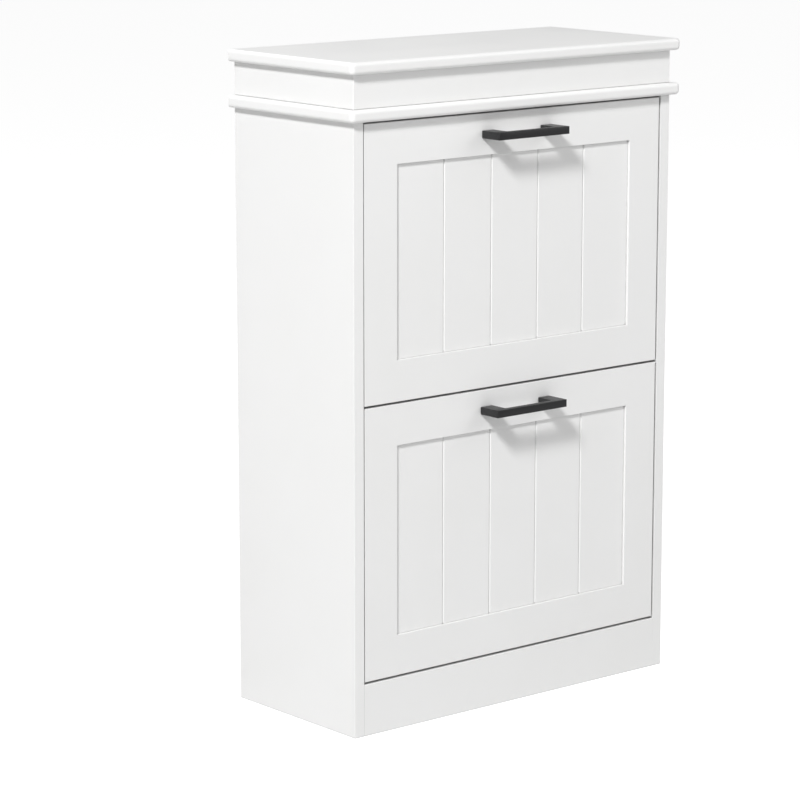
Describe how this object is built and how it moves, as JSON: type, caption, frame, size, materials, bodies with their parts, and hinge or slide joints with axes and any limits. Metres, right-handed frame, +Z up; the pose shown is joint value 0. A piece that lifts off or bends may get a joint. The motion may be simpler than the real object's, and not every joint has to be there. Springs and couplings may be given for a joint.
{
  "type": "shoe cabinet",
  "caption": "White shoe cabinet with tip-out flaps, routed plank-and-groove fronts, black bar pulls, moulded crown and plinth; shoe boards on inner brackets tilt out with each flap.",
  "frame": {"origin": "on the floor, at the middle of the width and of the depth from the handles' fronts to the back panel", "axes": "+X to the right as seen from the front, +Y to the back, +Z up"},
  "size_m": [0.5398, 0.2628, 0.8255],
  "materials": {
    "white_board": "satin white paint on fibreboard",
    "hardboard": "bare brown hardboard",
    "shoe_board": "white melamine-faced board",
    "bracket_plastic": "white moulded plastic",
    "bush_plastic": "white moulded plastic",
    "black_metal": "black powder coat",
    "zinc_steel": "zinc-plated steel",
    "pin_steel": "bright steel",
    "beech": "plain beech dowel"
  },
  "bodies": {
    "carcass": {"left_side_panel": "white_board", "right_side_panel": "white_board", "top_board": "white_board", "cornice_board": "white_board", "frieze_front": "white_board", "frieze_left": "white_board", "frieze_right": "white_board", "frieze_back": "white_board", "bottom_board": "white_board", "plinth_front": "white_board", "plinth_back": "white_board", "middle_rail": "white_board", "back_panel": "hardboard", "back_panel_nails": "zinc_steel", "cam_locks": "zinc_steel", "cam_bolts": "zinc_steel", "dowels": "beech", "pivot_bushes": "bush_plastic", "stop_pegs": "pin_steel"},
    "lower_flap": {"lower_flap_panel": "white_board", "lower_handle": "black_metal", "lower_handle_screws": "zinc_steel", "lower_left_bracket": "bracket_plastic", "lower_right_bracket": "bracket_plastic", "lower_bracket_screws": "zinc_steel", "lower_shoe_base": "shoe_board", "lower_shoe_divider": "shoe_board", "lower_shoe_back": "shoe_board", "lower_left_pivot_pin": "pin_steel", "lower_right_pivot_pin": "pin_steel"},
    "upper_flap": {"upper_flap_panel": "white_board", "upper_handle": "black_metal", "upper_handle_screws": "zinc_steel", "upper_left_bracket": "bracket_plastic", "upper_right_bracket": "bracket_plastic", "upper_bracket_screws": "zinc_steel", "upper_shoe_base": "shoe_board", "upper_shoe_divider": "shoe_board", "upper_shoe_back": "shoe_board", "upper_left_pivot_pin": "pin_steel", "upper_right_pivot_pin": "pin_steel"}
  },
  "joints": [
    {"name": "lower_flap_hinge", "type": "hinge", "parent": "carcass", "child": "lower_flap", "pos_m": [0, -0.0914, 0.088], "axis": [1, 0, 0], "range_deg": [0, 45]},
    {"name": "upper_flap_hinge", "type": "hinge", "parent": "carcass", "child": "upper_flap", "pos_m": [0, -0.0914, 0.431], "axis": [1, 0, 0], "range_deg": [0, 45]}
  ]
}
